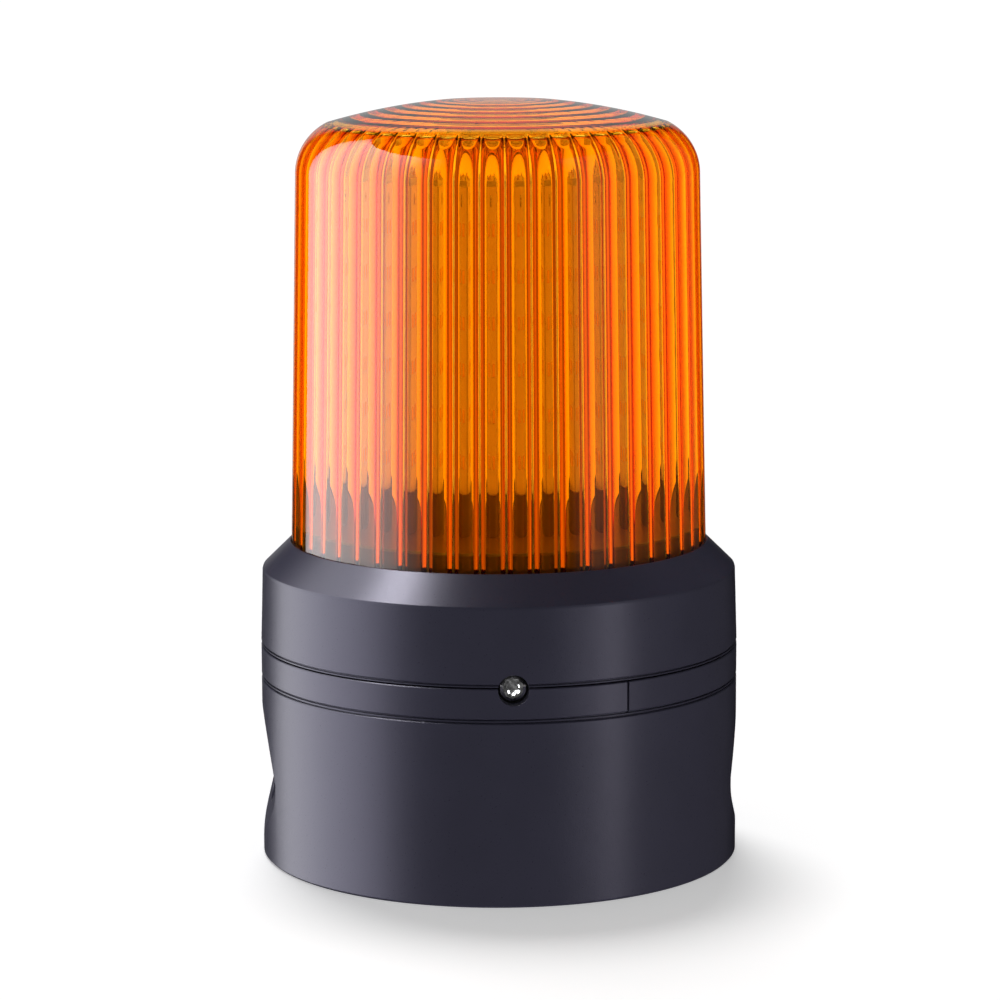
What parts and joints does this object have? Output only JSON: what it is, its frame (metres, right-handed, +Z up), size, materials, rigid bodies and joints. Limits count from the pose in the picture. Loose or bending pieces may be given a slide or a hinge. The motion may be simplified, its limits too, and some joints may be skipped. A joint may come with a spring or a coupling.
{
  "type": "signal beacon",
  "caption": "Amber LED warning light: a ribbed domed lens on a round twist-off head, over a dark surface-mount base with side cable entries and a lock screw.",
  "frame": {"origin": "middle of the underside of the base, on the mounting surface", "axes": "+Z up through the lens, -Y towards the lock screw, +X towards the open side cable entry"},
  "size_m": [0.13, 0.13, 0.205],
  "materials": {
    "housing_plastic": "fine satin grain, moulded anthracite",
    "ring_plastic": "fine satin grain",
    "plug_plastic": "satin",
    "neck_plastic": "plain moulded black",
    "lens_amber": "polished clear amber",
    "seal_rubber": "smooth black rubber",
    "gasket_foam": "closed-cell foam",
    "stainless": "bright",
    "screw_steel": "bright stainless",
    "brass": "turned brass",
    "copper": "enamelled copper wire",
    "board_white": "white solder mask",
    "board_green": "green solder mask",
    "tower_aluminium": "extruded",
    "led_phosphor": "silicone over phosphor",
    "chip_black": "moulded epoxy",
    "ferrite": "sintered",
    "capacitor_sleeve": "shrunk sleeve",
    "terminal_plastic": "moulded green",
    "dial_plastic": "moulded orange"
  },
  "bodies": {
    "base": {"base_housing": "housing_plastic", "mounting_gasket": "gasket_foam", "locking_ring": "ring_plastic", "entry_plug": "plug_plastic", "entry_plug_seal": "seal_rubber", "neck": "neck_plastic", "neck_seal": "seal_rubber", "neck_screws": "stainless", "screw_insert": "brass", "head_seal": "seal_rubber", "board_cover": "neck_plastic", "led_base_board": "board_white", "led_tower": "tower_aluminium", "tower_screws": "stainless", "led_board_1": "board_white", "led_board_2": "board_white", "led_board_3": "board_white", "led_board_4": "board_white", "led_board_5": "board_white", "led_board_6": "board_white", "side_leds": "led_phosphor", "led_board_screws": "stainless", "top_led_board": "board_white", "top_leds": "led_phosphor", "top_board_screws": "stainless", "driver_board": "board_green", "standoffs": "brass", "driver_screws": "stainless", "board_link": "chip_black", "inductor_core": "ferrite", "inductor_winding": "copper", "capacitors": "capacitor_sleeve", "driver_chips": "chip_black", "terminal_header": "terminal_plastic", "terminal_plug": "terminal_plastic", "terminal_screws": "stainless", "mode_switch": "chip_black"},
    "head": {"upper_housing": "housing_plastic", "lens": "lens_amber", "lens_seal": "seal_rubber", "bayonet_ring": "neck_plastic", "head_screws": "stainless"},
    "clamp_washer": {"clamp_washer": "stainless"},
    "lock_screw": {"lock_screw": "screw_steel"},
    "mode_dial": {"mode_dial": "dial_plastic"}
  },
  "joints": [
    {"name": "head_twist", "type": "hinge", "parent": "base", "child": "head", "pos_m": [0, 0, 0.06], "axis": [0, 0, 1], "range_deg": [0, 15]},
    {"name": "lock_screw_travel", "type": "slide", "parent": "base", "child": "clamp_washer", "axis": [0, -1, 0], "range_m": [0, 0.0014]},
    {"name": "lock_screw_turn", "type": "hinge", "parent": "clamp_washer", "child": "lock_screw", "pos_m": [0, -0.06, 0.0576], "axis": [0, -1, 0], "range_deg": [0, 722]},
    {"name": "mode_dial_turn", "type": "hinge", "parent": "base", "child": "mode_dial", "pos_m": [0.027, -0.007, 0.066], "axis": [0, 0, -1], "range_deg": [0, 324]}
  ],
  "couplings": [
    {"joint": "lock_screw_turn", "follows": "lock_screw_travel", "rad_per_m": 8976}
  ]
}
